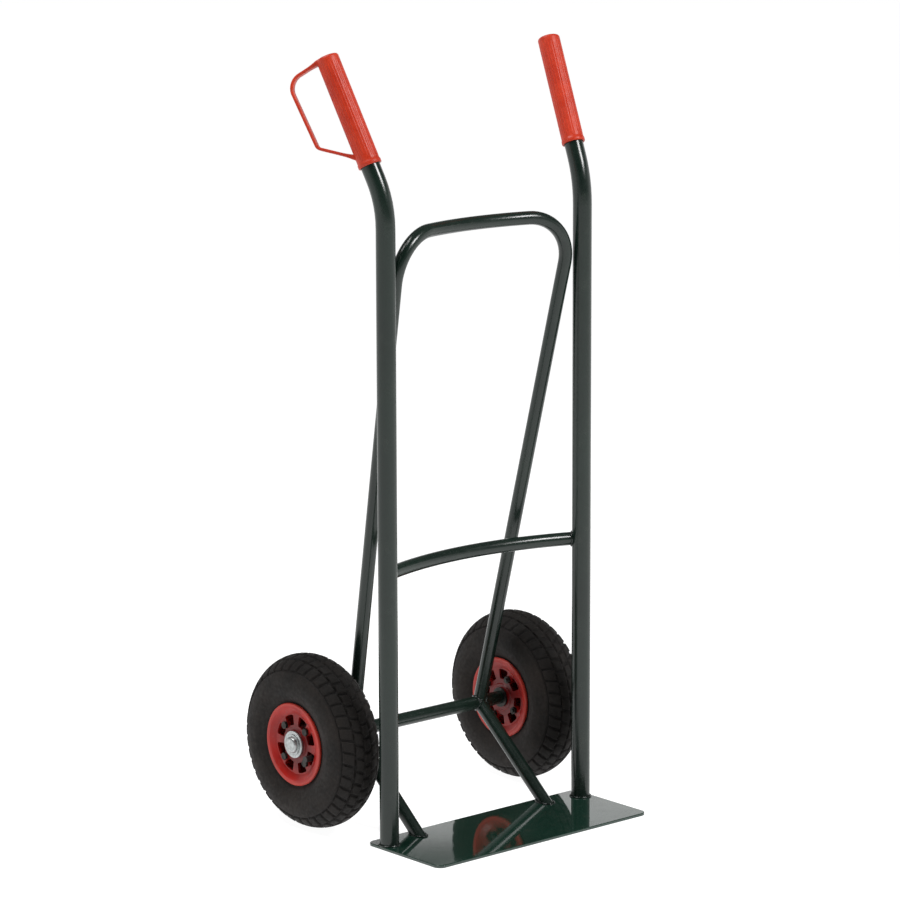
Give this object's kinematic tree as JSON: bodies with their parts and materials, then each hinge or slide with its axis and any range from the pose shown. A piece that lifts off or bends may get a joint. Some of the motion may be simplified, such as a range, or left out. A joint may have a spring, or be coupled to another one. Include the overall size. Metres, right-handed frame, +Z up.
{
  "type": "hand truck",
  "caption": "Two-wheeled hand truck with a welded tube frame, flat toe plate, bent-back handles with guarded grips and pneumatic wheels.",
  "frame": {"origin": "on the underside of the toe plate, midway between the two uprights", "axes": "+Z up along the uprights, -Y towards the load over the toe plate, +Y towards the wheels; left is -X and right is +X"},
  "size_m": [0.5074, 0.4169, 1.1437],
  "materials": {
    "frame_enamel": "semi-gloss dark green enamel",
    "plate_enamel": "gloss dark green enamel",
    "grip_plastic": "satin orange-red plastic",
    "rim_red": "satin red",
    "tyre_rubber": "matte black rubber",
    "tube_rubber": "matte",
    "black_plastic": "matte",
    "zinc_steel": "dull zinc plate",
    "dark_steel": "oiled",
    "roller_steel": "polished"
  },
  "bodies": {
    "frame": {"toe_plate": "plate_enamel", "rear_stay": "frame_enamel", "cross_bar": "frame_enamel", "axle_tube": "frame_enamel", "axle_rod": "zinc_steel", "upright_left": "frame_enamel", "lower_strut_left": "frame_enamel", "grip_left": "grip_plastic", "inner_washer_left": "dark_steel", "outer_washer_left": "zinc_steel", "axle_cap_left": "zinc_steel", "upright_right": "frame_enamel", "lower_strut_right": "frame_enamel", "grip_right": "grip_plastic", "inner_washer_right": "dark_steel", "outer_washer_right": "zinc_steel", "axle_cap_right": "zinc_steel"},
    "wheel_left": {"tyre_left": "tyre_rubber", "inner_tube_left": "tube_rubber", "rim_outer_half_left": "rim_red", "rim_inner_half_left": "rim_red", "hub_tube_left": "dark_steel", "roller_cages_left": "black_plastic", "rollers_left": "roller_steel", "hub_seals_left": "black_plastic", "rim_bolts_left": "dark_steel", "rim_nuts_left": "dark_steel", "valve_stem_left": "tube_rubber", "valve_cap_left": "black_plastic"},
    "wheel_right": {"tyre_right": "tyre_rubber", "inner_tube_right": "tube_rubber", "rim_outer_half_right": "rim_red", "rim_inner_half_right": "rim_red", "hub_tube_right": "dark_steel", "roller_cages_right": "black_plastic", "rollers_right": "roller_steel", "hub_seals_right": "black_plastic", "rim_bolts_right": "dark_steel", "rim_nuts_right": "dark_steel", "valve_stem_right": "tube_rubber", "valve_cap_right": "black_plastic"}
  },
  "joints": [
    {"name": "left_wheel_spin", "type": "hinge", "parent": "frame", "child": "wheel_left", "pos_m": [-0.202, 0.158, 0.13], "axis": [1, 0, 0], "continuous": true},
    {"name": "right_wheel_spin", "type": "hinge", "parent": "frame", "child": "wheel_right", "pos_m": [0.202, 0.158, 0.13], "axis": [1, 0, 0], "continuous": true}
  ]
}
